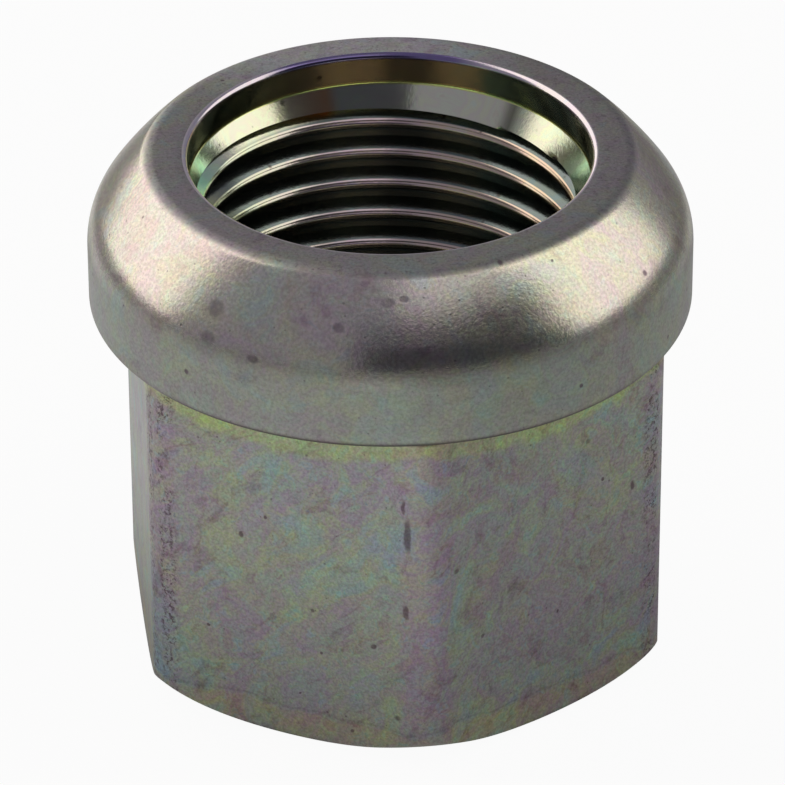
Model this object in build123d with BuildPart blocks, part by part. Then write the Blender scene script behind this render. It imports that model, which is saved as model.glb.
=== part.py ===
from build123d import *
from math import acos, cos, degrees, radians, sqrt, tan
import os

# Lug nut with a ball seat: a hexagon, a round collar above it and a spherical seat on the collar.
# It stands on the end of its hexagon. The axis is Z and the origin is the centre of the end face.
# Two corners of the hexagon point along +Y and -Y. All sizes are in millimetres.

# Thread: five eighths of an inch, 18 turns to the inch. The solid has the plain bore that the
# thread's crests lie on.
thread_major_diameter = 15.875
thread_crest_diameter = 14.68
thread_clearance = 0.05

# Hexagon for a thirteen sixteenths wrench, with its corners rounded as on drawn bar
across_flats = 20.45
corner_radius = 1.65
hexagon_length = 15.25

# Free end of the hexagon: an arc turned from the end face out to the corners
end_face_diameter = 17.5
end_round_height = 1.3
turning_allowance = 0.05

# Collar: a plain band below the seat
collar_diameter = 24.0
collar_band_length = 3.4
collar_lower_round = 0.3
collar_upper_round = 3.0

# Ball seat: part of a sphere centred on the axis, cut off by a narrow flat face round the mouth
ball_radius = 14.0
seat_face_diameter = 19.2
seat_face_round = 0.9

# Bore: from the mouth, a clearance counterbore, a lead-in cone, the threaded length, a countersink
mouth_edge_break = 0.2
counterbore_depth = 1.3
lead_in_length = 1.05
countersink_angle = 45

# Radii that follow from the sizes above
collar_radius = collar_diameter / 2
seat_face_radius = seat_face_diameter / 2
crest_radius = thread_crest_diameter / 2
clearance_radius = thread_major_diameter / 2 + thread_clearance
corner_reach = (across_flats / 2 - corner_radius) / cos(radians(30)) + corner_radius
turned_radius = corner_reach + turning_allowance
end_face_radius = end_face_diameter / 2

# Heights that follow from the sizes above
collar_base = hexagon_length
seat_base = collar_base + collar_band_length
ball_centre = seat_base - sqrt(ball_radius**2 - collar_radius**2)
overall_height = ball_centre + sqrt(ball_radius**2 - seat_face_radius**2)
lead_in_top = overall_height - counterbore_depth
lead_in_base = lead_in_top - lead_in_length
countersink_depth = (clearance_radius - crest_radius) / tan(radians(countersink_angle))


with BuildPart() as lug_nut:
    # The hexagon runs up inside the collar as far as the seat
    with BuildSketch(Plane.XY) as hexagon_section:
        RegularPolygon(across_flats / 2, 6, major_radius=False, rotation=30)
        fillet(hexagon_section.vertices(), corner_radius)
    extrude(amount=seat_base)

    # The arc of the free end takes the lower corners off
    with BuildSketch(Plane.XZ):
        with BuildLine():
            end_arc = TangentArc((end_face_radius, 0), (turned_radius, end_round_height), tangent=(1, 0))
            Polyline(end_arc @ 1, (turned_radius, seat_base), (0, seat_base), (0, 0), end_arc @ 0)
        make_face()
    revolve(axis=Axis.Z, mode=Mode.INTERSECT)

    # Collar band and ball seat in one turned section
    with BuildSketch(Plane.XZ) as collar_section:
        with BuildLine():
            collar_angle = degrees(acos(collar_radius / ball_radius))
            face_angle = degrees(acos(seat_face_radius / ball_radius))
            seat_arc = CenterArc((0, ball_centre), ball_radius, collar_angle, face_angle - collar_angle)
            Polyline(
                seat_arc @ 1,
                (0, overall_height),
                (0, collar_base),
                (collar_radius, collar_base),
                seat_arc @ 0,
            )
        make_face()
        rim = collar_section.vertices().group_by(Axis.X)[-1].sort_by(Axis.Y)
        fillet(rim[0], collar_lower_round)
        fillet(rim[1], collar_upper_round)
        seat_face_edge = collar_section.vertices().group_by(Axis.Y)[-1].sort_by(Axis.X)[-1]
        fillet(seat_face_edge, seat_face_round)
    revolve(axis=Axis.Z)

    # Bore through the whole nut
    with BuildSketch(Plane.XZ):
        with BuildLine():
            Polyline(
                (0, 0),
                (clearance_radius, 0),
                (crest_radius, countersink_depth),
                (crest_radius, lead_in_base),
                (clearance_radius, lead_in_top),
                (clearance_radius, overall_height - mouth_edge_break),
                (clearance_radius + mouth_edge_break, overall_height),
                (0, overall_height),
                close=True,
            )
        make_face()
    revolve(axis=Axis.Z, mode=Mode.SUBTRACT)

lug_nut.part.label = "lug_nut"

os.makedirs("parts", exist_ok=True)
export_step(lug_nut.part, "parts/lug_nut.step")
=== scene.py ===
"""Studio scene of a zinc plated lug nut with a ball seat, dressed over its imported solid."""

import logging
import math
from dataclasses import dataclass
from enum import Enum, IntEnum
from typing import Sequence

import bmesh
import bpy
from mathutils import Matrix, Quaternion, Vector


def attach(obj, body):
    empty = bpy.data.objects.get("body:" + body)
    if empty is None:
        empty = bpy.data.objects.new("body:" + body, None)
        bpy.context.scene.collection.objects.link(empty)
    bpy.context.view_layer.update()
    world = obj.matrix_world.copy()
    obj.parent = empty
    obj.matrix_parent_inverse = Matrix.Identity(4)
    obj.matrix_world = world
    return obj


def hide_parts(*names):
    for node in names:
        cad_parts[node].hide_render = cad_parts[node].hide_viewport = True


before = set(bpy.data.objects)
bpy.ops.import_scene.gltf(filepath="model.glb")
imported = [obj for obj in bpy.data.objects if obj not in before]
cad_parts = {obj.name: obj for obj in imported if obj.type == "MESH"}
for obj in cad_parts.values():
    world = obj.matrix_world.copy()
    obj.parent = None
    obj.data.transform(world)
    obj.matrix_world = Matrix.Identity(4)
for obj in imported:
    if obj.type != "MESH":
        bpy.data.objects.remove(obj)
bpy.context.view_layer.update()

log = logging.getLogger("lug_nut")

MM = 0.001
FULL_TURN = 2 * math.pi

Triple = tuple[float, float, float]
Colour = Triple
Range = tuple[float, float]
Stops = Sequence[tuple[float, Colour]]
Socket = bpy.types.NodeSocket


class Zone(IntEnum):
    """Zones of the nut's surface, in the order of its material slots."""

    HEXAGON = 0
    COLLAR = 1
    BORE = 2


class Part(IntEnum):
    """Stretches of the turned section that the hexagon changes."""

    PLAIN = 0
    END_ARC = 1
    SIDE = 2
    CREASE = 3
    UNDERSIDE = 4
    LOWER_ROUND = 5


class Kind(Enum):
    """Kinds of socket that a node group has."""

    NUMBER = "NodeSocketFloat"
    VECTOR = "NodeSocketVector"
    COLOUR = "NodeSocketColor"


def smooth_step(low: float, high: float, value: float) -> float:
    """Eases from 0 at low to 1 at high.

    Args:
        low: Value at which the result leaves 0.
        high: Value at which the result reaches 1.
        value: The value to ease.

    Returns:
        The eased share, from 0 to 1.
    """
    share = min(1.0, max(0.0, (value - low) / (high - low)))
    return share * share * (3 - 2 * share)


def even(count: int) -> list[float]:
    """Shares from 0 to 1 in equal steps."""
    return [i / (count - 1) for i in range(count)]


@dataclass(frozen=True)
class SectionPoint:
    """A point of the turned section: radius and height in mm, its stretch and its share of it."""

    radius: float
    height: float
    part: Part = Part.PLAIN
    share: float = 0.0


@dataclass
class NutBody:
    """The forged and turned outside of the nut, from the countersink's edge to the counterbore.

    All sizes are in millimetres, as in the solid. The rows say where the section has points.
    """

    across_flats: float = 20.45
    corner_radius: float = 1.65
    hexagon_length: float = 15.25
    end_face_diameter: float = 17.5
    end_round_height: float = 1.3
    turning_allowance: float = 0.05
    crease_round: float = 0.12
    collar_diameter: float = 24.0
    collar_band_length: float = 3.4
    collar_lower_round: float = 0.3
    collar_upper_round: float = 3.0
    ball_radius: float = 14.0
    seat_face_diameter: float = 19.2
    seat_face_round: float = 0.9
    mouth_edge_break: float = 0.2
    clearance_radius: float = 7.9875
    crest_radius: float = 7.34
    counterbore_depth: float = 1.3
    lead_in_length: float = 1.05
    foot_round: float = 0.3
    steps: int = 300
    end_face_rows: Sequence[float] = (0.06, 0.3)
    side_rows: Sequence[float] = (
        0.012, 0.03, 0.06, 0.15, 0.3, 0.45, 0.6, 0.75, 0.88, 0.95, 0.98,
    )
    underside_rows: Sequence[float] = (0.25, 0.5, 0.75)
    band_rows: Sequence[float] = (0.2, 0.4, 0.6, 0.8, 0.93)
    face_rows: Sequence[float] = (0.7, 0.35)
    wall_rows: Sequence[float] = (0.95, 0.7, 0.4, 0.2)

    @property
    def half_flats(self) -> float:
        """Distance from the axis to a flat."""
        return self.across_flats / 2

    @property
    def corner_centre(self) -> float:
        """Distance from the axis to the centre of a corner's round."""
        return (self.half_flats - self.corner_radius) / math.cos(math.pi / 6)

    @property
    def corner_reach(self) -> float:
        """Distance from the axis to the tip of a rounded corner."""
        return self.corner_centre + self.corner_radius

    @property
    def end_face_radius(self) -> float:
        """Radius of the flat end face of the hexagon."""
        return self.end_face_diameter / 2

    @property
    def collar_radius(self) -> float:
        """Radius of the collar's band."""
        return self.collar_diameter / 2

    @property
    def ball_centre(self) -> float:
        """Height of the centre of the ball seat."""
        seat_base = self.hexagon_length + self.collar_band_length
        return seat_base - math.sqrt(self.ball_radius**2 - self.collar_radius**2)

    @property
    def height(self) -> float:
        """Overall height of the nut."""
        face_radius = self.seat_face_diameter / 2
        return self.ball_centre + math.sqrt(self.ball_radius**2 - face_radius**2)

    @property
    def edge_height(self) -> float:
        """Height of the centre of the round between the ball surface and the flat face."""
        return self.height - self.seat_face_round

    @property
    def edge_radius(self) -> float:
        """Radius at which that round reaches the flat face."""
        reach = self.ball_radius - self.seat_face_round
        return math.sqrt(reach**2 - (self.edge_height - self.ball_centre) ** 2)

    @property
    def end_arc_radius(self) -> float:
        """Radius of the arc that rounds the free end of the hexagon."""
        reach = self.corner_reach + self.turning_allowance - self.end_face_radius
        rise = self.end_round_height
        return (reach**2 + rise**2) / (2 * rise)

    def end_arc_height(self, radius: float) -> float:
        """Height of the end arc's surface.

        Args:
            radius: Distance from the axis.

        Returns:
            The height above the end face.
        """
        reach = radius - self.end_face_radius
        return self.end_arc_radius - math.sqrt(self.end_arc_radius**2 - reach**2)

    def hexagon_radius(self, angle: float) -> float:
        """Distance from the axis to the hexagon's outline, corners rounded.

        Args:
            angle: Direction about the axis, with corners along +Y and -Y.

        Returns:
            The distance in that direction.
        """
        sixth = math.pi / 3
        off_flat = (angle + sixth / 2) % sixth - sixth / 2
        off_corner = sixth / 2 - abs(off_flat)
        tangent_span = math.atan2(
            self.corner_radius * 0.5,
            self.corner_centre + self.corner_radius * math.cos(math.pi / 6),
        )
        if off_corner >= tangent_span:
            return self.half_flats / math.cos(off_flat)
        along = self.corner_centre * math.cos(off_corner)
        aside = self.corner_centre * math.sin(off_corner)
        return along + math.sqrt(self.corner_radius**2 - aside**2)

    def arc(
        self, centre: tuple[float, float], radius: float, start: float, end: float, count: int
    ) -> list[SectionPoint]:
        """Points of a round in the section.

        Args:
            centre: Radius and height of the round's centre.
            radius: The round's own radius.
            start: First direction, in degrees from level.
            end: Last direction, in degrees from level.
            count: Number of points.

        Returns:
            The points in order.
        """
        turns = [math.radians(start + (end - start) * share) for share in even(count)]
        return [
            SectionPoint(centre[0] + radius * math.cos(t), centre[1] + radius * math.sin(t))
            for t in turns
        ]

    def section(self) -> list[SectionPoint]:
        """The outside section, from the countersink's edge round to the foot of the counterbore."""
        points = [SectionPoint(self.clearance_radius + row, 0.0) for row in self.end_face_rows]
        stretches = (
            (Part.END_ARC, even(17)),
            (Part.SIDE, self.side_rows),
            (Part.CREASE, even(8)),
            (Part.UNDERSIDE, self.underside_rows),
            (Part.LOWER_ROUND, even(13)),
        )
        points += [self.stretch(part, row) for part, rows in stretches for row in rows]
        return points + self.collar_section() + self.mouth_section()

    def stretch(self, part: Part, share: float) -> SectionPoint:
        """A point of a stretch that follows the hexagon, told from others by its height.

        Args:
            part: The stretch.
            share: How far along it, from 0 to 1.

        Returns:
            The point, placed for the time being.
        """
        return SectionPoint(self.corner_reach, part + share * 0.9, part, share)

    def collar_section(self) -> list[SectionPoint]:
        """The band above its lower round, the upper round and the ball surface."""
        inner = self.collar_radius - self.collar_upper_round
        reach = self.ball_radius - self.collar_upper_round
        band_top = self.ball_centre + math.sqrt(reach**2 - inner**2)
        band_low = self.hexagon_length + self.collar_lower_round
        meet = math.degrees(math.atan2(band_top - self.ball_centre, inner))
        leave = math.degrees(math.atan2(self.edge_height - self.ball_centre, self.edge_radius))
        points = [
            SectionPoint(self.collar_radius, band_low + (band_top - band_low) * row)
            for row in self.band_rows
        ]
        points += self.arc((inner, band_top), self.collar_upper_round, 0, meet, 22)
        points += self.arc((0.0, self.ball_centre), self.ball_radius, meet, leave, 16)[1:]
        edge = (self.edge_radius, self.edge_height)
        return points + self.arc(edge, self.seat_face_round, leave, 90, 16)[1:]

    def mouth_section(self) -> list[SectionPoint]:
        """The narrow flat face, the broken edge of the mouth and the counterbore's wall."""
        broken = self.clearance_radius + self.mouth_edge_break
        face = [
            SectionPoint(broken + (self.edge_radius - broken) * row, self.height)
            for row in self.face_rows
        ]
        break_centre = (broken, self.height - self.mouth_edge_break)
        break_arc = self.arc(break_centre, self.mouth_edge_break, 90, 180, 7)
        foot = self.height - self.counterbore_depth
        tilt = math.atan2(self.clearance_radius - self.crest_radius, self.lead_in_length)
        wall = [SectionPoint(self.clearance_radius, foot + row) for row in self.wall_rows]
        foot_centre = (
            self.clearance_radius - self.foot_round,
            foot + self.foot_round * math.tan(tilt / 2),
        )
        foot_arc = self.arc(foot_centre, self.foot_round, 0, -math.degrees(tilt), 6)
        return face + break_arc + wall + foot_arc

    def shaped(self, part: Part, share: float, angle: float) -> tuple[float, float]:
        """Where a point that follows the hexagon belongs.

        Args:
            part: Its stretch of the section.
            share: How far along the stretch it is.
            angle: Its direction about the axis.

        Returns:
            Its radius and height.
        """
        reach = self.hexagon_radius(angle)
        crease = min(self.crease_round, 0.4 * (self.collar_radius - reach))
        round_start = self.collar_radius - self.collar_lower_round
        inner = max(round_start, reach + crease)
        lift = math.asin(min(1.0, (inner - round_start) / self.collar_lower_round))
        round_centre = self.hexagon_length + self.collar_lower_round
        underside = round_centre - self.collar_lower_round * math.cos(lift)
        if part == Part.END_ARC:
            radius = self.end_face_radius + share * (reach - self.end_face_radius)
            return radius, self.end_arc_height(radius)
        if part == Part.SIDE:
            foot = self.end_arc_height(reach)
            return reach, foot + share * (underside - crease - foot)
        if part == Part.CREASE:
            turn = share * math.pi / 2
            return (
                reach + crease * (1 - math.cos(turn)),
                underside - crease * (1 - math.sin(turn)),
            )
        if part == Part.UNDERSIDE:
            start = reach + crease
            return start + share * max(0.0, inner - start), underside
        turn = lift + share * (math.pi / 2 - lift)
        return (
            round_start + self.collar_lower_round * math.sin(turn),
            round_centre - self.collar_lower_round * math.cos(turn),
        )

    def zone(self, centre: Vector) -> Zone:
        """The zone that a face belongs to, by its middle."""
        if centre.z <= self.hexagon_length:
            return Zone.HEXAGON
        mouth = self.clearance_radius + self.mouth_edge_break - 0.01
        return Zone.BORE if math.hypot(centre.x, centre.y) < mouth else Zone.COLLAR

    def build(self) -> bmesh.types.BMesh:
        """Turns the section, then draws the hexagon's stretches in to its outline.

        Returns:
            A mesh that is open only at the countersink and at the counterbore's foot.
        """
        bm = bmesh.new()
        part_layer = bm.verts.layers.int.new("part")
        share_layer = bm.verts.layers.float.new("share")
        last = None
        for point in self.section():
            vert = bm.verts.new((point.radius, 0.0, point.height))
            vert[part_layer], vert[share_layer] = int(point.part), point.share
            if last is not None:
                bm.edges.new((last, vert))
            last = vert
        bmesh.ops.spin(
            bm,
            geom=bm.verts[:] + bm.edges[:],
            cent=(0, 0, 0),
            axis=(0, 0, 1),
            dvec=(0, 0, 0),
            angle=FULL_TURN,
            steps=self.steps,
            use_merge=True,
        )
        for vert in bm.verts:
            part = Part(vert[part_layer])
            if part != Part.PLAIN:
                angle = math.atan2(vert.co.y, vert.co.x)
                radius, height = self.shaped(part, vert[share_layer], angle)
                vert.co = (radius * math.cos(angle), radius * math.sin(angle), height)
        bmesh.ops.remove_doubles(bm, verts=bm.verts[:], dist=0.002)
        for face in bm.faces:
            face.material_index = self.zone(face.calc_center_median())
        return bm


@dataclass
class ThreadedBore:
    """The tapped bore, with its lead-in cone above and its countersink below, in millimetres.

    The phases say where one turn has rows of points, as shares of the pitch above the crest. The
    crest form gives the depth at each such share, for a crest split as a forming tap leaves it.
    """

    major_radius: float = 7.94
    crest_radius: float = 7.34
    clearance_radius: float = 7.9875
    pitch: float = 25.4 / 18
    flank_angle: float = math.radians(30)
    lead_in_top: float = 20.329
    lead_in_length: float = 1.05
    cone_edge: float = 20.23
    first_crest: float = 18.82
    first_crest_angle: float = math.radians(83.13)
    run_out_rise: float = 0.50
    run_out_margin: float = 0.08
    run_out_length: float = 0.1
    last_lap_end: float = 1.45 * math.pi
    steps: int = 220
    spare_turns: int = 3
    phases: Sequence[float] = (
        -0.42, -0.363, -0.25, -0.13, -0.10, -0.071, -0.045, -0.02, 0.005,
        0.028, 0.043, 0.066, 0.085, 0.104, 0.122, 0.25, 0.36, 0.43, 0.5,
    )
    crest_form: Sequence[Range] = (
        (-0.13, 0.0), (-0.071, 0.0), (-0.045, 0.006), (-0.02, 0.02), (0.005, 0.045), (0.028, 0.075),
        (0.043, 0.09), (0.066, 0.03), (0.085, 0.025), (0.104, 0.045), (0.122, 0.075),
    )

    @property
    def lead_in_base(self) -> float:
        """Height at which the lead-in cone meets the crests."""
        return self.lead_in_top - self.lead_in_length

    def crest_height(self, angle: float) -> float:
        """Height of the uppermost crest in a direction about the axis."""
        return self.first_crest + self.pitch * (angle - self.first_crest_angle) / FULL_TURN

    def thread_depth(self, turns: float) -> float:
        """Depth of the thread's form below its crest.

        Args:
            turns: Height above a crest, in turns of the thread.

        Returns:
            The depth in millimetres.
        """
        off = turns - round(turns)
        (first, _), (last, edge) = self.crest_form[0], self.crest_form[-1]
        if first < off < last:
            for (low, start), (high, end) in zip(self.crest_form, self.crest_form[1:]):
                if off <= high:
                    return start + (end - start) * (off - low) / (high - low)
        away = (off - last) * self.pitch if off >= last else (first - off) * self.pitch
        flank = away / math.tan(self.flank_angle) + (edge if off >= last else 0.0)
        return min(self.major_radius - self.crest_radius, flank)

    def thread_radius(self, angle: float, height: float) -> float:
        """Radius of the threaded wall. Its last turn runs out in the lead-in cone.

        Args:
            angle: Direction about the axis.
            height: Height in millimetres.

        Returns:
            The wall's radius there.
        """
        lap = angle if angle > -math.pi / 2 else angle + FULL_TURN
        top = self.crest_height(lap)
        depth = self.thread_depth((height - top) / self.pitch)
        cut = max(top + self.run_out_rise, self.lead_in_base - self.run_out_margin)
        depth *= 1.0 - smooth_step(cut, cut + self.run_out_length, height)
        if height > top:
            depth *= 1.0 - smooth_step(math.pi, self.last_lap_end, lap)
        return self.crest_radius + depth

    def wall_radius(self, angle: float, height: float) -> float:
        """Radius of the finished wall: thread, lead-in cone and countersink together.

        Args:
            angle: Direction about the axis.
            height: Height in millimetres.

        Returns:
            The wall's radius there.
        """
        widening = self.clearance_radius - self.crest_radius
        up = (height - self.lead_in_base) / self.lead_in_length
        lead_in = self.crest_radius + widening * min(1.0, up)
        countersink = self.clearance_radius - height
        return max(self.thread_radius(angle, height), lead_in, countersink)

    def build(self) -> bmesh.types.BMesh:
        """Spins a rising line into a wall whose rows follow the helix, trims it and cuts it.

        Returns:
            A mesh that is open at its two circular ends.
        """
        bm = bmesh.new()
        start = self.crest_height(0.0)
        top_lap = int(self.lead_in_top / self.pitch) + self.spare_turns
        heights = [
            start + (phase - lap) * self.pitch
            for lap in range(top_lap, -self.spare_turns, -1)
            for phase in self.phases
        ]
        last = None
        for height in heights:
            if not -1.1 * self.pitch < height < self.cone_edge + 0.2:
                continue
            vert = bm.verts.new((self.crest_radius, 0.0, height))
            if last is not None:
                bm.edges.new((last, vert))
            last = vert
        bmesh.ops.spin(
            bm,
            geom=bm.verts[:] + bm.edges[:],
            cent=(0, 0, 0),
            axis=(0, 0, 1),
            dvec=(0, 0, self.pitch / self.steps),
            angle=FULL_TURN,
            steps=self.steps,
            use_merge=False,
        )
        bmesh.ops.remove_doubles(bm, verts=bm.verts[:], dist=0.001)
        self.trim(bm, self.cone_edge, 1.0)
        self.trim(bm, 0.0, -1.0)
        for vert in bm.verts:
            angle = math.atan2(vert.co.y, vert.co.x)
            radius = self.wall_radius(angle, vert.co.z)
            vert.co = (radius * math.cos(angle), radius * math.sin(angle), vert.co.z)
        for face in bm.faces:
            face.material_index = Zone.BORE
        return bm

    def trim(self, bm: bmesh.types.BMesh, height: float, side: float) -> None:
        """Cuts the wall level and clears what is beyond.

        Args:
            bm: The wall.
            height: Height of the cut.
            side: 1 to clear above, -1 to clear below.
        """
        bmesh.ops.bisect_plane(
            bm,
            geom=bm.verts[:] + bm.edges[:] + bm.faces[:],
            dist=1e-6,
            plane_co=(0, 0, height),
            plane_no=(0, 0, side),
            clear_outer=True,
        )


class Graph:
    """Places and joins shader nodes in one tree."""

    NODE_WIDTH = 180

    def __init__(self, tree: bpy.types.NodeTree) -> None:
        """Starts on a tree."""
        self.tree = tree
        self.column = 0

    def node(self, kind: str, **settings: object) -> bpy.types.Node:
        """Adds a node.

        Args:
            kind: The node's type name.
            settings: Properties to set on it.

        Returns:
            The node.
        """
        made = self.tree.nodes.new(kind)
        for name, value in settings.items():
            setattr(made, name, value)
        made.location = (self.column * self.NODE_WIDTH, 0)
        self.column += 1
        return made

    def put(self, socket: Socket, value: object) -> None:
        """Sets a socket, or joins another socket to it.

        Args:
            socket: The input.
            value: A number, a colour, a vector or an output socket.
        """
        if isinstance(value, Socket):
            self.tree.links.new(value, socket)
        elif isinstance(value, tuple) and socket.type == "RGBA":
            socket.default_value = (*value, 1.0)
        else:
            socket.default_value = value

    def math(self, operation: str, *values: object, clamp: bool = False) -> Socket:
        """A Math node.

        Args:
            operation: Its operation.
            values: Its inputs.
            clamp: Whether the result stays from 0 to 1.

        Returns:
            The result.
        """
        made = self.node("ShaderNodeMath", operation=operation, use_clamp=clamp)
        for socket, value in zip(made.inputs, values):
            self.put(socket, value)
        return made.outputs[0]

    def times(self, *values: object) -> Socket:
        """The product of all the values."""
        product = values[0]
        for value in values[1:]:
            product = self.math("MULTIPLY", product, value)
        return product

    def vector(self, operation: str, *values: object) -> Socket:
        """A Vector Math node.

        Args:
            operation: Its operation.
            values: Its inputs.

        Returns:
            The result, a number for a length.
        """
        made = self.node("ShaderNodeVectorMath", operation=operation)
        for socket, value in zip(made.inputs, values):
            self.put(socket, value)
        return made.outputs["Value" if operation == "LENGTH" else "Vector"]

    def mix(self, factor: object, low: object, high: object, blend: str = "MIX") -> Socket:
        """A Mix node for colours.

        Args:
            factor: The share of the second colour.
            low: The first colour.
            high: The second colour.
            blend: The way they are blended.

        Returns:
            The colour.
        """
        made = self.node("ShaderNodeMix", data_type="RGBA", blend_type=blend)
        for index, value in ((0, factor), (6, low), (7, high)):
            self.put(made.inputs[index], value)
        return made.outputs[2]

    def shade(self, colour: object, tint: object, share: Socket | None = None) -> Socket:
        """A colour multiplied by a tint, fully or by a share.

        Args:
            colour: The colour.
            tint: The tint.
            share: How much of the tint is taken.

        Returns:
            The colour.
        """
        tinted = self.mix(1.0, colour, tint, "MULTIPLY")
        return tinted if share is None else self.mix(share, colour, tinted)

    def noise(
        self, vector: Socket, scale: object, detail: float = 3.0, rough: float = 0.5,
        warp: float = 0.0,
    ) -> Socket:
        """A Noise texture.

        Args:
            vector: Where it is read.
            scale: Features per unit, a number or a socket.
            detail: Number of finer layers.
            rough: Weight of the finer layers.
            warp: Distortion.

        Returns:
            Its value.
        """
        made = self.node("ShaderNodeTexNoise", noise_dimensions="3D")
        labels = ("Vector", "Scale", "Detail", "Roughness", "Distortion")
        for label, value in zip(labels, (vector, scale, detail, rough, warp)):
            self.put(made.inputs[label], value)
        return made.outputs[0]

    def drift(
        self, vector: Socket, scale: float, weight: float, base: object, detail: float = 2.0
    ) -> Socket:
        """A value that noise moves about.

        Args:
            vector: Where the noise is read.
            scale: Features per unit.
            weight: How far the noise moves the value.
            base: The value.
            detail: Number of finer layers.

        Returns:
            The moved value.
        """
        return self.math("MULTIPLY_ADD", self.noise(vector, scale, detail), weight, base)

    def ramp(self, factor: object, stops: Stops) -> Socket:
        """A Color Ramp.

        Args:
            factor: Where the ramp is read.
            stops: Places and colours in order.

        Returns:
            The colour.
        """
        made = self.node("ShaderNodeValToRGB")
        elements = made.color_ramp.elements
        elements[0].position, elements[0].color = stops[0][0], (*stops[0][1], 1.0)
        elements[1].position, elements[1].color = stops[-1][0], (*stops[-1][1], 1.0)
        for place, colour in stops[1:-1]:
            elements.new(place).color = (*colour, 1.0)
        self.put(made.inputs[0], factor)
        return made.outputs[0]

    def span(
        self, value: object, low: object, high: object, start: object = 0.0, end: object = 1.0
    ) -> Socket:
        """A smooth Map Range. Each of its numbers may be a socket.

        Args:
            value: The value read.
            low: Where it leaves the first result.
            high: Where it reaches the second result.
            start: First result.
            end: Second result.

        Returns:
            The eased result.
        """
        made = self.node("ShaderNodeMapRange", interpolation_type="SMOOTHSTEP")
        for socket, item in zip(made.inputs, (value, low, high, start, end)):
            self.put(socket, item)
        return made.outputs[0]

    def window(self, value: Socket, rise: Range, fall: Range) -> Socket:
        """A mask that rises over one range of a value and falls over another."""
        return self.times(self.span(value, *rise), self.span(value, *fall, 1.0, 0.0))

    def place(self, stretch: Triple = (1.0, 1.0, 1.0), turn: Triple = (0.0, 0.0, 0.0)) -> Socket:
        """The object's own coordinates in millimetres, or turned and then drawn out.

        Args:
            stretch: How far a pattern is drawn out along each axis.
            turn: Rotation about the three axes.

        Returns:
            The vector.
        """
        coordinates = self.node("ShaderNodeTexCoord")
        mapping = self.node("ShaderNodeMapping", vector_type="TEXTURE")
        self.put(mapping.inputs["Vector"], coordinates.outputs["Object"])
        mapping.inputs["Rotation"].default_value = turn
        mapping.inputs["Scale"].default_value = tuple(s * MM for s in stretch)
        return mapping.outputs[0]

    def uneven(self, place: Socket, scale: float, amount: float) -> Socket:
        """A place moved about by noise, so that what is drawn there gets an uneven edge.

        Args:
            place: Coordinates in millimetres.
            scale: Features per millimetre.
            amount: How far it is moved.

        Returns:
            The moved place.
        """
        waver = self.node("ShaderNodeTexNoise", noise_dimensions="3D")
        self.put(waver.inputs["Vector"], place)
        self.put(waver.inputs["Scale"], scale)
        moved = self.vector("MULTIPLY_ADD", waver.outputs["Color"], (amount,) * 3, place)
        return self.vector("SUBTRACT", moved, (amount / 2,) * 3)

    def spot(self, place: Socket, at: Triple, size: float, length: float) -> Socket:
        """A stain at one place, soft at its edge.

        Args:
            place: Coordinates in millimetres.
            at: The stain's middle.
            size: Its radius in millimetres.
            length: How many times longer it is upwards.

        Returns:
            Its mask.
        """
        off = self.vector("SUBTRACT", place, at)
        drawn = self.vector("DIVIDE", off, (size, size, size * length))
        return self.span(self.vector("LENGTH", drawn), 0.5, 1.0, 1.0, 0.0)

    def angle(self, place: Socket) -> Socket:
        """Direction about the axis in degrees, from +X towards +Y."""
        x, y, _ = self.axes(place)
        return self.math("DEGREES", self.math("ARCTAN2", y, x))

    def axes(self, vector: Socket) -> tuple[Socket, ...]:
        """Splits a vector into its x, y and z."""
        made = self.node("ShaderNodeSeparateXYZ")
        self.put(made.inputs[0], vector)
        return tuple(made.outputs)

    def radius(self, vector: Socket) -> Socket:
        """Distance of a place from the axis."""
        x, y, _ = self.axes(vector)
        return self.math("SQRT", self.math("ADD", self.times(x, x), self.times(y, y)))


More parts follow.
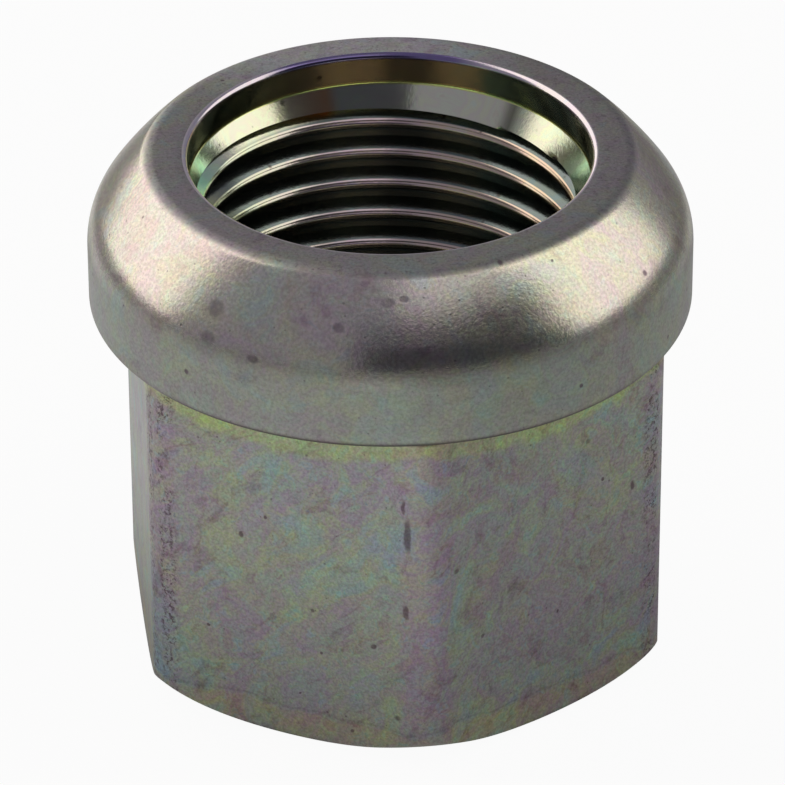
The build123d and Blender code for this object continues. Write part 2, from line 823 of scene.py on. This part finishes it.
class GroupKit:
    """Shared effects as shader node groups, each built once."""

    FILM_TINTS: Stops = (
        (0.32, (0.88, 1.16, 1.20)),
        (0.38, (0.96, 1.16, 1.06)),
        (0.43, (1.10, 1.14, 0.88)),
        (0.47, (1.02, 1.06, 0.94)),
        (0.51, (1.06, 0.93, 1.03)),
        (0.55, (0.99, 0.96, 1.02)),
        (0.60, (0.98, 1.12, 1.02)),
        (0.65, (0.96, 0.84, 0.88)),
        (0.72, (1.08, 1.04, 0.90)),
    )

    def __init__(self) -> None:
        """Builds the groups."""
        self.film = self.make_film()
        self.pits = self.make_pits()
        self.streaks = self.make_streaks()
        self.grain = self.make_grain()

    def start(
        self, name: str, numbers: dict[str, float], gives: dict[str, Kind]
    ) -> tuple[Graph, Sequence[Socket], Sequence[Socket]]:
        """Opens a node group that takes a vector and some numbers.

        Args:
            name: The group's name.
            numbers: Name and default of each number.
            gives: Name and kind of each output.

        Returns:
            The group's graph, the sockets of its inputs and those of its outputs.
        """
        tree = bpy.data.node_groups.new(name, "ShaderNodeTree")
        tree.interface.new_socket("Vector", in_out="INPUT", socket_type=Kind.VECTOR.value)
        for label, default in numbers.items():
            socket = tree.interface.new_socket(
                label, in_out="INPUT", socket_type=Kind.NUMBER.value
            )
            socket.default_value = default
        for label, kind in gives.items():
            tree.interface.new_socket(label, in_out="OUTPUT", socket_type=kind.value)
        graph = Graph(tree)
        return graph, graph.node("NodeGroupInput").outputs, graph.node("NodeGroupOutput").inputs

    def make_film(self) -> bpy.types.NodeTree:
        """The passivation film's drifting tints, as a colour to multiply by."""
        g, given, out = self.start(
            "passivation_film", {"Scale": 0.4, "Amount": 0.5}, {"Colour": Kind.COLOUR}
        )
        hue = g.noise(given["Vector"], given["Scale"], 4.0, 0.55, 0.8)
        tint = g.ramp(hue, self.FILM_TINTS)
        g.put(out["Colour"], g.mix(given["Amount"], (1.0, 1.0, 1.0), tint))
        return g.tree

    def make_pits(self) -> bpy.types.NodeTree:
        """Scattered dark pits and specks, as a mask."""
        g, given, out = self.start(
            "pits", {"Scale": 1.0, "Share": 0.2, "Size": 0.12}, {"Mask": Kind.NUMBER}
        )
        cells = g.node("ShaderNodeTexVoronoi", voronoi_dimensions="3D", feature="F1")
        g.put(cells.inputs["Vector"], given["Vector"])
        g.put(cells.inputs["Scale"], given["Scale"])
        pick, size_pick, _ = g.axes(cells.outputs["Color"])
        chosen = g.math("LESS_THAN", pick, given["Share"])
        size = g.times(g.math("ADD", size_pick, 0.3), given["Size"])
        off = g.math("DIVIDE", cells.outputs["Distance"], size)
        near = g.math("SUBTRACT", 1.0, off, clamp=True)
        g.put(out["Mask"], g.times(chosen, g.span(near, 0.0, 0.6)))
        return g.tree

    def make_streaks(self) -> bpy.types.NodeTree:
        """Thin wandering streaks that come and go, as a mask."""
        g, given, out = self.start(
            "streaks", {"Scale": 0.5, "Width": 0.02}, {"Mask": Kind.NUMBER}
        )
        wander = g.noise(given["Vector"], given["Scale"], 2.0, 0.5, 0.5)
        off = g.math("ABSOLUTE", g.math("SUBTRACT", wander, 0.5))
        line = g.span(off, 0.0, given["Width"], 1.0, 0.0)
        shown = g.noise(given["Vector"], g.times(given["Scale"], 1.7), 2.0)
        g.put(out["Mask"], g.times(line, g.span(shown, 0.50, 0.62)))
        return g.tree

    def make_grain(self) -> bpy.types.NodeTree:
        """Fine plating grain, as a height and as a value about one half."""
        g, given, out = self.start(
            "plating_grain", {"Scale": 6.0}, {"Height": Kind.NUMBER, "Value": Kind.NUMBER}
        )
        fine = g.noise(given["Vector"], given["Scale"], 3.0, 0.65)
        g.put(out["Height"], fine)
        g.put(out["Value"], g.span(fine, 0.3, 0.7))
        return g.tree


@dataclass(frozen=True)
class Stain:
    """A dark stain or nick: its place, radius and upward stretch, in millimetres."""

    at: Triple
    size: float
    length: float = 1.0


@dataclass(frozen=True)
class Relief:
    """How a finish's bump stands: its strength, and its distance in millimetres."""

    strength: float
    depth: float


@dataclass(frozen=True)
class Finish:
    """What the zinc finishes share: a name, the node groups and the way a material is built."""

    name: str
    kit: GroupKit

    def open(self) -> tuple[bpy.types.Material, Graph, bpy.types.Node]:
        """Starts a metal material.

        Returns:
            The material, its graph and its Principled BSDF.
        """
        material = bpy.data.materials.new(self.name)
        material.use_nodes = True
        graph = Graph(material.node_tree)
        shader = material.node_tree.nodes["Principled BSDF"]
        shader.inputs["Metallic"].default_value = 1.0
        return material, graph, shader

    def shared(self, graph: Graph, tree: bpy.types.NodeTree, **values: object) -> bpy.types.Node:
        """Places a shared group.

        Args:
            graph: The material's graph.
            tree: The group.
            values: Its inputs by name.

        Returns:
            The group's node.
        """
        made = graph.node("ShaderNodeGroup", node_tree=tree)
        for label, value in values.items():
            graph.put(made.inputs[label], value)
        return made

    def filmed(
        self, graph: Graph, colour: object, place: Socket, scale: float, amount: float
    ) -> Socket:
        """A colour under the passivation film.

        Args:
            graph: The material's graph.
            colour: The colour.
            place: Where the film is read.
            scale: Patches per millimetre.
            amount: How strong its tints are.

        Returns:
            The tinted colour.
        """
        film = self.shared(graph, self.kit.film, Vector=place, Scale=scale, Amount=amount)
        return graph.shade(colour, film.outputs["Colour"])

    def pitted(
        self, graph: Graph, place: Socket, scale: float, share: float, size: float
    ) -> Socket:
        """Mask of scattered pits.

        Args:
            graph: The material's graph.
            place: Coordinates in millimetres.
            scale: Cells per millimetre.
            share: The share of cells that have a pit.
            size: The pits' size in cells.

        Returns:
            The mask.
        """
        pits = self.shared(
            graph, self.kit.pits, Vector=place, Scale=scale, Share=share, Size=size
        )
        return pits.outputs["Mask"]

    def grained(self, graph: Graph, colour: Socket, value: Socket, tones: Range) -> Socket:
        """A colour whose tone follows the plating's grain."""
        low, high = tones
        return graph.shade(colour, graph.ramp(value, ((0.0, (low,) * 3), (1.0, (high,) * 3))))

    def finish(
        self, graph: Graph, shader: bpy.types.Node, colour: Socket, rough: Socket,
        height: Socket, relief: Relief,
    ) -> None:
        """Joins colour, roughness and bump to the shader.

        Args:
            graph: The material's graph.
            shader: Its Principled BSDF.
            colour: The base colour.
            rough: The roughness.
            height: The bump height.
            relief: How the bump stands.
        """
        bump = graph.node("ShaderNodeBump")
        bump.inputs["Strength"].default_value = relief.strength
        bump.inputs["Distance"].default_value = relief.depth * MM
        graph.put(bump.inputs["Height"], height)
        graph.put(shader.inputs["Base Color"], colour)
        graph.put(shader.inputs["Roughness"], rough)
        graph.put(shader.inputs["Normal"], bump.outputs[0])


@dataclass(frozen=True)
class HexagonZinc(Finish):
    """Satin zinc of the hexagon under a film that drifts from green to mauve, teal and olive.

    Spans of height are in millimetres and spans of direction in degrees.
    """

    base: Colour = (0.385, 0.383, 0.39)
    smudge: Colour = (0.76, 0.66, 0.72)
    streak: Colour = (0.72, 0.56, 0.60)
    corner: Colour = (1.02, 0.90, 1.04)
    under_collar: Colour = (1.16, 1.30, 0.80)
    turned_end: Colour = (1.12, 1.02, 0.88)
    turned_edge: Colour = (0.6, 0.5, 0.52)
    # Painted shade: darkens the bottom rim of the turned end.
    painted_rim_shade: Colour = (0.30, 0.28, 0.28)
    # Painted shade: near-black colour for the crease under the collar.
    crease: Colour = (0.10, 0.06, 0.055)
    stain: Colour = (0.10, 0.055, 0.07)
    corner_span: Range = (25.6, 27.4)
    recess_fall: float = 0.0012
    recess_span: Range = (13.75, 14.25)
    turned_span: Range = (0.95, 1.15)
    turned_edge_height: float = 1.2
    painted_rim_shade_span: Range = (-0.15, 0.35)
    crease_shade_span: Range = (14.96, 15.16)
    tones: Range = (0.81, 1.15)
    relief: Relief = Relief(0.35, 0.03)
    stains: tuple[Stain, ...] = (
        Stain((-0.90, -11.30, 12.20), 0.13, 3.0),
        Stain((-0.74, -11.38, 10.90), 0.20, 5.0),
        Stain((-0.79, -11.35, 7.36), 0.16, 2.5),
        Stain((-1.98, -10.67, 5.44), 0.17),
        Stain((-3.95, -9.53, 4.56), 0.08),
        Stain((-4.73, -9.08, 2.40), 0.08),
        Stain((-8.16, -7.09, 4.64), 0.10),
        Stain((-5.97, -8.36, 10.32), 0.10),
        Stain((-6.83, -7.86, 9.28), 0.12, 1.6),
        Stain((-2.82, -10.18, 1.20), 0.10),
        Stain((5.58, -8.59, 5.12), 0.10),
        Stain((7.49, -7.49, 10.48), 0.12),
        Stain((8.78, -6.74, 9.60), 0.14, 1.8),
    )

    def make(self) -> bpy.types.Material:
        """Builds the material."""
        material, g, shader = self.open()
        place = g.place()
        _, _, z = g.axes(place)
        to_corner = g.math("PINGPONG", g.angle(place), 30.0)
        colour = self.film_colour(g, place)
        band = g.span(g.drift(place, 0.8, 3.0, to_corner), *self.corner_span)
        colour = g.shade(colour, self.corner, g.times(band, 0.85))
        recess = g.math("SUBTRACT", z, g.times(to_corner, to_corner, self.recess_fall))
        strip = g.span(g.drift(place, 0.7, 0.9, recess), *self.recess_span)
        colour = g.shade(colour, self.under_collar, strip)
        colour = self.turned_end_colour(g, place, colour, z)
        # Painted shade: the crease just under the collar is painted near black.
        colour = g.mix(g.span(z, *self.crease_shade_span), colour, self.crease)
        marks = self.marks(g, place)
        colour = g.mix(marks, colour, self.stain)
        grain = self.shared(g, self.kit.grain, Vector=place, Scale=9.0)
        colour = self.grained(g, colour, grain.outputs["Value"], self.tones)
        rough = g.drift(place, 0.7, 0.20, 0.28, 3.0)
        height = g.math("SUBTRACT", grain.outputs["Height"], marks)
        self.finish(g, shader, colour, rough, height, self.relief)
        return material

    def film_colour(self, g: Graph, place: Socket) -> Socket:
        """The film's patches at three sizes, with smudges and diagonal streaks.

        Args:
            g: The material's graph.
            place: Coordinates in millimetres.

        Returns:
            The colour.
        """
        drawn = g.place((1.0, 1.0, 1.7), (0.5, 0.6, 0.3))
        colour = self.filmed(g, self.base, place, 0.13, 0.6)
        colour = self.filmed(g, colour, drawn, 0.6, 0.75)
        colour = self.filmed(g, colour, place, 2.2, 0.7)
        smudge = g.span(g.noise(drawn, 0.9, 5.0, 0.68, 0.8), 0.55, 0.66)
        colour = g.shade(colour, self.smudge, g.times(smudge, 0.7))
        streaks = self.shared(g, self.kit.streaks, Vector=drawn, Scale=0.55, Width=0.035)
        return g.shade(colour, self.streak, g.times(streaks.outputs["Mask"], 0.45))

    def turned_end_colour(self, g: Graph, place: Socket, colour: Socket, z: Socket) -> Socket:
        """The warmer turned end, the thin line along its top and painted shade at its rim.

        Args:
            g: The material's graph.
            place: Coordinates in millimetres.
            colour: The colour so far.
            z: The height.

        Returns:
            The colour.
        """
        low = g.drift(place, 0.5, -1.0, z)
        turned = g.times(g.span(low, *self.turned_span, 1.0, 0.0), g.span(low, -0.3, 0.6, 0.3, 1.0))
        colour = g.shade(colour, self.turned_end, turned)
        off_edge = g.math("ABSOLUTE", g.math("SUBTRACT", low, self.turned_edge_height))
        colour = g.shade(colour, self.turned_edge, g.span(off_edge, 0.02, 0.09, 0.3, 0.0))
        # Painted shade: the bottom rim is darkened towards its lower edge.
        rim = g.drift(place, 1.2, -0.4, z, 3.0)
        return g.shade(colour, self.painted_rim_shade, g.span(rim, *self.painted_rim_shade_span, 0.85, 0.0))

    def marks(self, g: Graph, place: Socket) -> Socket:
        """Spots, fine specks, the speckle along some corners and the placed stains.

        Args:
            g: The material's graph.
            place: Coordinates in millimetres.

        Returns:
            The mask.
        """
        some = g.math("PINGPONG", g.math("SUBTRACT", g.angle(place), 30.0), 60.0)
        worn = g.window(some, (54.5, 56.5), (58.8, 59.6))
        coarse = g.span(g.noise(place, 5.5, 4.0, 0.75), 0.50, 0.60)
        ragged = g.span(g.noise(place, 0.7, 3.0), 0.30, 0.52)
        total = g.times(worn, coarse, ragged, 0.75)
        spots = self.pitted(g, place, 0.9, 0.2, 0.12)
        specks = self.pitted(g, place, 2.6, 0.34, 0.14)
        total = g.math("MAXIMUM", total, g.times(spots, 0.6))
        total = g.math("MAXIMUM", total, g.times(specks, 0.5))
        uneven = g.uneven(place, 2.2, 0.22)
        for stain in self.stains:
            spot = g.spot(uneven, stain.at, stain.size, stain.length)
            total = g.math("MAXIMUM", total, g.times(spot, 0.68))
        return total


@dataclass(frozen=True)
class CollarZinc(Finish):
    """Zinc of the collar: satin on the band, bright on the ball seat and grey round the mouth.

    Spans of height are in millimetres and spans of direction in degrees.
    """

    band: Colour = (0.375, 0.38, 0.36)
    seat: Colour = (0.76, 0.70, 0.655)
    # Painted light: the face round the mouth has a darker near colour and a lighter far colour,
    # blended by direction.
    face: Colour = (0.3108, 0.2988, 0.3182)
    far_face_painted_light: Colour = (0.4958, 0.4896, 0.5254)
    # Painted shade, tinted brown, on the lower round of the band above the crease.
    lower_edge_painted_shade: Colour = (0.50, 0.40, 0.42)
    smudge: Colour = (0.72, 0.58, 0.72)
    stain: Colour = (0.13, 0.085, 0.12)
    polish_span: Range = (18.2, 19.4)
    face_span: Range = (21.42, 21.6)
    far_rise: Range = (40.0, 80.0)
    far_fall: Range = (110.0, 150.0)
    lower_edge_painted_shade_span: Range = (15.3, 15.62)
    tones: Range = (0.84, 1.12)
    relief: Relief = Relief(0.30, 0.022)
    films: Sequence[Range] = ((0.17, 0.4), (0.6, 0.45), (1.9, 0.3))
    stains: tuple[Stain, ...] = (
        Stain((-8.06, -8.64, 18.81), 0.42, 0.7),
        Stain((-6.48, -9.98, 18.53), 0.34, 0.6),
        Stain((-3.24, -10.59, 20.01), 0.30, 0.8),
        Stain((-1.36, -10.32, 20.80), 0.36, 0.6),
        Stain((-0.72, -10.29, 20.90), 0.24, 0.6),
        Stain((-7.66, -8.21, 19.80), 0.42, 1.2),
    )

    def make(self) -> bpy.types.Material:
        """Builds the material."""
        material, g, shader = self.open()
        place = g.place()
        _, _, z = g.axes(place)
        polish = g.span(g.drift(place, 0.35, 0.8, z), *self.polish_span)
        mouth = g.span(z, *self.face_span)
        # Painted light: the far side of the face round the mouth is painted lighter.
        far = g.window(g.angle(place), self.far_rise, self.far_fall)
        colour = g.mix(polish, self.band, self.seat)
        colour = g.mix(mouth, colour, g.mix(far, self.face, self.far_face_painted_light))
        # Painted shade: the lower round of the band is darkened towards the crease.
        low = g.span(z, *self.lower_edge_painted_shade_span, 1.0, 0.0)
        colour = g.shade(colour, self.lower_edge_painted_shade, low)
        for scale, amount in self.films:
            colour = self.filmed(g, colour, place, scale, amount)
        smudge = g.span(g.noise(place, 0.55, 4.0, 0.62, 0.5), 0.56, 0.70)
        colour = g.shade(colour, self.smudge, g.times(smudge, 0.55))
        marks = self.marks(g, place, mouth)
        colour = g.mix(g.times(marks, 0.8), colour, self.stain)
        grain = self.shared(g, self.kit.grain, Vector=place, Scale=8.0)
        colour = self.grained(g, colour, grain.outputs["Value"], self.tones)
        satin = g.math("MULTIPLY_ADD", polish, -0.16, 0.33)
        satin = g.math("MULTIPLY_ADD", mouth, 0.22, satin)
        rough = g.drift(place, 0.8, 0.12, satin, 3.0)
        height = g.math("SUBTRACT", grain.outputs["Height"], marks)
        self.finish(g, shader, colour, rough, height, self.relief)
        return material

    def marks(self, g: Graph, place: Socket, mouth: Socket) -> Socket:
        """Spots, specks, the coarser marks round the mouth and the placed stains.

        Args:
            g: The material's graph.
            place: Coordinates in millimetres.
            mouth: Mask of the flat face round the mouth.

        Returns:
            The mask.
        """
        spots = self.pitted(g, place, 1.0, 0.25, 0.13)
        specks = self.pitted(g, place, 3.0, 0.34, 0.16)
        coarse = g.span(g.noise(place, 4.5, 4.0, 0.75), 0.53, 0.66)
        coarse = g.times(coarse, g.math("MULTIPLY_ADD", mouth, 0.5, 0.06))
        marks = g.math("MAXIMUM", spots, g.times(specks, 0.55))
        marks = g.math("MAXIMUM", marks, coarse)
        soft = g.noise(place, 1.8, 3.0)
        for stain in self.stains:
            spot = g.spot(place, stain.at, stain.size, stain.length)
            marks = g.math("MAXIMUM", marks, g.times(spot, soft, 1.1))
        return marks


@dataclass(frozen=True)
class BoreZinc(Finish):
    """Glossy plating of the counterbore, lead-in cone and thread.

    Spans of height and radius are in millimetres and spans of direction in degrees.
    """

    # Painted light and reflection: the mouth's edge and the counterbore wall each have a near and a
    # far colour, blended by direction; the far wall is painted lighter and the far edge is painted
    # as a dark purple reflection.
    mouth: Colour = (0.80, 0.72, 0.80)
    far_mouth_painted_reflection: Colour = (0.20, 0.15, 0.42)
    wall: Colour = (0.42, 0.47, 0.33)
    far_wall_painted_light: Colour = (0.59, 0.53, 0.36)
    # Painted highlight: a bright yellow line at the lip where the counterbore wall meets the
    # lead-in cone.
    painted_lip_highlight: Colour = (0.92, 0.95, 0.42)
    cone: Colour = (0.90, 0.91, 0.74)
    # Painted light and shade: the thread's crests are painted bright and its valleys dark.
    crest: Colour = (0.80, 0.76, 0.72)
    painted_shaded_valley: Colour = (0.22, 0.26, 0.26)
    pit: Colour = (0.06, 0.045, 0.03)
    cone_span: Range = (19.1, 19.3)
    painted_lip_highlight_span: Range = (20.25, 20.30)
    wall_span: Range = (20.40, 20.46)
    mouth_span: Range = (21.38, 21.44)
    ridge_rise: Range = (7.341, 7.348)
    ridge_fall: Range = (7.41, 7.45)
    relief: Relief = Relief(0.2, 0.02)
    crest_drift: Stops = (
        (0.0, (1.0, 0.80, 0.60)),
        (0.3, (1.0, 0.84, 0.78)),
        (0.55, (0.94, 0.78, 0.90)),
        (0.8, (0.92, 1.0, 0.80)),
        (1.0, (0.70, 1.0, 0.90)),
    )
    cone_film_and_painted_shade: Stops = (
        (0.0, (0.55, 1.0, 0.92)),
        (0.25, (0.92, 0.96, 0.90)),
        (0.49, (0.60, 1.0, 0.92)),
        (0.545, (0.72, 0.80, 0.76)),
        (0.575, (0.92, 0.93, 0.88)),
        (0.612, (0.84, 0.86, 0.82)),
        # Painted shade: a narrow near-black band round the cone.
        (0.622, (0.26, 0.25, 0.24)),
        (0.634, (0.95, 0.93, 0.94)),
        (0.66, (0.98, 0.96, 1.0)),
        (0.72, (1.0, 1.0, 1.0)),
        (0.775, (0.88, 0.94, 0.98)),
        (0.784, (1.0, 0.62, 0.42)),
        (0.80, (0.95, 0.70, 0.55)),
        (0.825, (0.95, 0.95, 0.85)),
        (0.90, (1.0, 1.0, 1.0)),
        (0.95, (0.55, 1.0, 0.95)),
        (1.0, (0.55, 1.0, 0.92)),
    )

    def make(self) -> bpy.types.Material:
        """Builds the material."""
        material, g, shader = self.open()
        place = g.place()
        _, _, z = g.axes(place)
        turn = g.angle(place)
        thread, lead_in = self.thread(g, place, turn), self.lead_in(g, turn)
        colour = g.mix(g.span(z, *self.cone_span), thread, lead_in)
        # Painted highlight along the lip.
        colour = g.mix(g.span(z, *self.painted_lip_highlight_span), colour, self.painted_lip_highlight)
        # Painted light: the far side of the counterbore wall is painted lighter.
        far = g.window(turn, (45.0, 65.0), (100.0, 125.0))
        colour = g.mix(g.span(z, *self.wall_span), colour, g.mix(far, self.wall, self.far_wall_painted_light))
        # Painted reflection: the far side of the mouth's edge is painted dark purple.
        far = g.times(g.window(turn, (52.0, 66.0), (112.0, 126.0)), 0.85)
        colour = g.mix(g.span(z, *self.mouth_span), colour, g.mix(far, self.mouth, self.far_mouth_painted_reflection))
        colour = self.filmed(g, colour, place, 0.7, 0.35)
        colour = g.mix(g.times(self.pitted(g, place, 1.4, 0.3, 0.2), 0.7), colour, self.pit)
        grain = self.shared(g, self.kit.grain, Vector=place, Scale=6.0)
        rough = g.drift(place, 1.0, 0.10, 0.10, 3.0)
        self.finish(g, shader, colour, rough, grain.outputs["Height"], self.relief)
        return material

    def thread(self, g: Graph, place: Socket, turn: Socket) -> Socket:
        """Painted highlight on the crests over painted shade in the valleys.

        Args:
            g: The material's graph.
            place: Coordinates in millimetres.
            turn: Direction about the axis in degrees.

        Returns:
            The colour.
        """
        reach = g.radius(place)
        painted_crest_light = g.times(
            g.span(reach, *self.ridge_fall, 1.0, 0.0), g.span(reach, *self.ridge_rise, 0.12, 1.0)
        )
        drift = g.ramp(g.span(turn, -20.0, 200.0), self.crest_drift)
        return g.mix(painted_crest_light, self.painted_shaded_valley, g.shade(drift, self.crest))

    def lead_in(self, g: Graph, turn: Socket) -> Socket:
        """The film's drift round the lead-in cone, with one narrow band of painted shade.

        Args:
            g: The material's graph.
            turn: Direction about the axis in degrees.

        Returns:
            The colour.
        """
        share = g.math("DIVIDE", g.math("ADD", turn, 180.0), 360.0)
        return g.shade(g.ramp(share, self.cone_film_and_painted_shade), self.cone)


@dataclass
class LugNut:
    """The whole nut: the outside and the threaded bore, joined into one closed piece."""

    body: NutBody
    bore: ThreadedBore
    kit: GroupKit
    sharp_angle: float = math.radians(32)

    def build(self) -> bpy.types.Object:
        """Joins the two shells and dresses them.

        Returns:
            The piece.
        """
        bm = self.body.build()
        inner = self.bore.build()
        wall = bpy.data.meshes.new("bore_wall")
        inner.to_mesh(wall)
        inner.free()
        bm.from_mesh(wall)
        bpy.data.meshes.remove(wall)
        rims = [e for e in bm.edges if e.is_boundary]
        upper = [e for e in rims if e.verts[0].co.z > self.body.hexagon_length]
        lower = [e for e in rims if e.verts[0].co.z < self.body.end_round_height]
        before = set(bm.faces)
        bmesh.ops.bridge_loops(bm, edges=upper)
        bmesh.ops.triangle_fill(bm, edges=lower, use_beauty=True)
        for face in set(bm.faces) - before:
            face.material_index = Zone.BORE
        bmesh.ops.scale(bm, vec=(MM, MM, MM), verts=bm.verts[:])
        bmesh.ops.recalc_face_normals(bm, faces=bm.faces[:])
        for face in bm.faces:
            face.smooth = True
        for edge in bm.edges:
            edge.smooth = not edge.is_manifold or edge.calc_face_angle() < self.sharp_angle
        log.info("open edges %d", sum(1 for e in bm.edges if not e.is_manifold))
        mesh = bpy.data.meshes.new("plated_lug_nut")
        bm.to_mesh(mesh)
        bm.free()
        piece = bpy.data.objects.new("plated_lug_nut", mesh)
        bpy.context.scene.collection.objects.link(piece)
        for finish in (
            HexagonZinc("hexagon_zinc", self.kit),
            CollarZinc("collar_zinc", self.kit),
            BoreZinc("bore_zinc", self.kit),
        ):
            mesh.materials.append(finish.make())
        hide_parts("lug_nut")
        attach(piece, "root")
        return piece


@dataclass(frozen=True)
class SoftPanel:
    """A soft light panel of the studio, by direction. Azimuth 0 is in front and 90 at the right."""

    azimuth: float
    half_width: float
    low: float
    high: float
    strength: float
    tint: Colour = (1.0, 1.0, 1.0)
    softness: float = 12.0


@dataclass
class Studio:
    """The room's light, the pale floor and the camera. Places are in millimetres."""

    ambient: Colour = (0.20, 0.20, 0.23)
    panels: tuple[SoftPanel, ...] = (
        SoftPanel(90, 80, 70, 95, 0.26, (1.0, 1.0, 1.0), 14.0),
        SoftPanel(180, 22, -5, 48, 0.26, (1.0, 1.0, 1.04), 8.0),
        SoftPanel(-134, 34, -2, 58, 1.15, (1.05, 1.0, 0.92), 10.0),
        SoftPanel(88, 27, 9, 58, 1.04, (1.03, 1.0, 0.93), 8.0),
        SoftPanel(22, 38, -40, 42, 0.04, (0.9, 0.9, 1.15), 7.0),
        SoftPanel(30, 28, 52, 74, 0.56, (1.0, 1.0, 1.02), 6.0),
    )
    floor_radius: float = 4000.0
    paper: Colour = (0.86, 0.86, 0.86)
    mirrored_paper: Colour = (0.1, 0.1, 0.1)
    white: float = 0.95
    lens: float = 275.2
    sensor: float = 36.0
    camera_place: Triple = (-24.254, -204.747, 136.338)
    look: Triple = (0.10065, 0.84759, -0.52102)
    roll: float = math.radians(-0.235)

    def light(self) -> None:
        """Makes the world: dim ambient light and the soft panels."""
        world = bpy.data.worlds.new("studio")
        bpy.context.scene.world = world
        world.use_nodes = True
        g = Graph(world.node_tree)
        background = world.node_tree.nodes["Background"]
        coordinates = g.node("ShaderNodeTexCoord")
        x, y, z = g.axes(coordinates.outputs["Generated"])
        azimuth = g.math("DEGREES", g.math("ARCTAN2", x, g.times(y, -1.0)))
        elevation = g.math("DEGREES", g.math("ARCSINE", z))
        total: object = self.ambient
        for panel in self.panels:
            share = self.panel_share(g, panel, azimuth, elevation)
            total = g.mix(share, total, tuple(panel.strength * t for t in panel.tint))
        g.put(background.inputs["Color"], total)
        background.inputs["Strength"].default_value = 1.0

    def panel_share(
        self, g: Graph, panel: SoftPanel, azimuth: Socket, elevation: Socket
    ) -> Socket:
        """How much of a panel is seen in a direction.

        Args:
            g: The world's graph.
            panel: The panel.
            azimuth: Direction round the nut, in degrees.
            elevation: Direction above level, in degrees.

        Returns:
            The share, from 0 to 1.
        """
        off = g.math("SUBTRACT", azimuth, panel.azimuth)
        off = g.math("ABSOLUTE", g.math("WRAP", off, 180.0, -180.0))
        side = g.span(off, panel.half_width, panel.half_width + panel.softness, 1.0, 0.0)
        foot = (panel.low - panel.softness, panel.low)
        head = (panel.high, panel.high + panel.softness)
        return g.times(side, g.window(elevation, foot, head))

    def floor(self) -> bpy.types.Object:
        """Makes the pale floor.

        Returns:
            The floor.
        """
        bm = bmesh.new()
        bmesh.ops.create_circle(bm, cap_ends=True, segments=96, radius=self.floor_radius * MM)
        mesh = bpy.data.meshes.new("floor")
        bm.to_mesh(mesh)
        bm.free()
        floor = bpy.data.objects.new("floor", mesh)
        bpy.context.scene.collection.objects.link(floor)
        mesh.materials.append(self.floor_paper())
        return floor

    def floor_paper(self) -> bpy.types.Material:
        """White paper that the camera sees white and the metal sees as a pool of light."""
        material = bpy.data.materials.new("floor_paper")
        material.use_nodes = True
        tree = material.node_tree
        g = Graph(tree)
        tree.nodes.remove(tree.nodes["Principled BSDF"])
        path = g.node("ShaderNodeLightPath")
        seen = g.math("ADD", path.outputs["Is Camera Ray"], path.outputs["Is Transmission Ray"])
        mirrored = g.times(path.outputs["Is Glossy Ray"], self.pool(g))
        paper = g.mix(path.outputs["Is Glossy Ray"], self.paper, self.mirrored_paper)
        diffuse = g.node("ShaderNodeBsdfDiffuse")
        g.put(diffuse.inputs["Color"], paper)
        glow = g.node("ShaderNodeEmission")
        glow.inputs["Strength"].default_value = 1.0
        blend = g.node("ShaderNodeMixShader")
        g.put(blend.inputs[0], g.times(g.math("ADD", seen, mirrored, clamp=True), self.white))
        g.put(blend.inputs[1], diffuse.outputs[0])
        g.put(blend.inputs[2], glow.outputs[0])
        g.put(tree.nodes["Material Output"].inputs["Surface"], blend.outputs[0])
        return material

    def pool(self, g: Graph) -> Socket:
        """The pool of light on the floor: dark in the bore, dim at the nut and far off."""
        place = g.place()
        x, y, _ = g.axes(place)
        reach = g.radius(place)
        in_bore = g.span(reach, 7.9, 8.8, 0.05, 1.0)
        near = g.span(reach, 8.0, 32.0, 0.29, 0.68)
        outer = g.span(reach, 42.0, 90.0, 1.0, 0.25)
        side = g.span(x, -8.0, 22.0, 1.0, 0.67)
        behind = g.times(g.span(y, -2.0, 9.0), g.span(reach, 18.0, 30.0, 0.5, 0.0))
        return g.times(in_bore, near, outer, side, g.math("ADD", behind, 1.0))

    def camera(self) -> bpy.types.Object:
        """Sets the camera at the photograph's viewing angle.

        Returns:
            The camera.
        """
        data = bpy.data.cameras.new("camera")
        data.lens = self.lens
        data.sensor_width = self.sensor
        data.clip_start, data.clip_end = 0.01, 20.0
        camera = bpy.data.objects.new("camera", data)
        bpy.context.scene.collection.objects.link(camera)
        camera.location = Vector(self.camera_place) * MM
        aim = Vector(self.look).to_track_quat("-Z", "Y")
        camera.rotation_mode = "QUATERNION"
        camera.rotation_quaternion = aim @ Quaternion((0, 0, 1), self.roll)
        bpy.context.scene.camera = camera
        return camera


def main() -> None:
    """Builds the nut, the studio and the camera."""
    logging.basicConfig(level=logging.INFO, format="%(name)s: %(message)s")
    nut = LugNut(NutBody(), ThreadedBore(), GroupKit()).build()
    log.info("%s: %d faces", nut.name, len(nut.data.polygons))
    studio = Studio()
    studio.floor()
    studio.light()
    studio.camera()
    bpy.context.scene.view_settings.view_transform = "Standard"


if __name__ == "__main__":
    main()
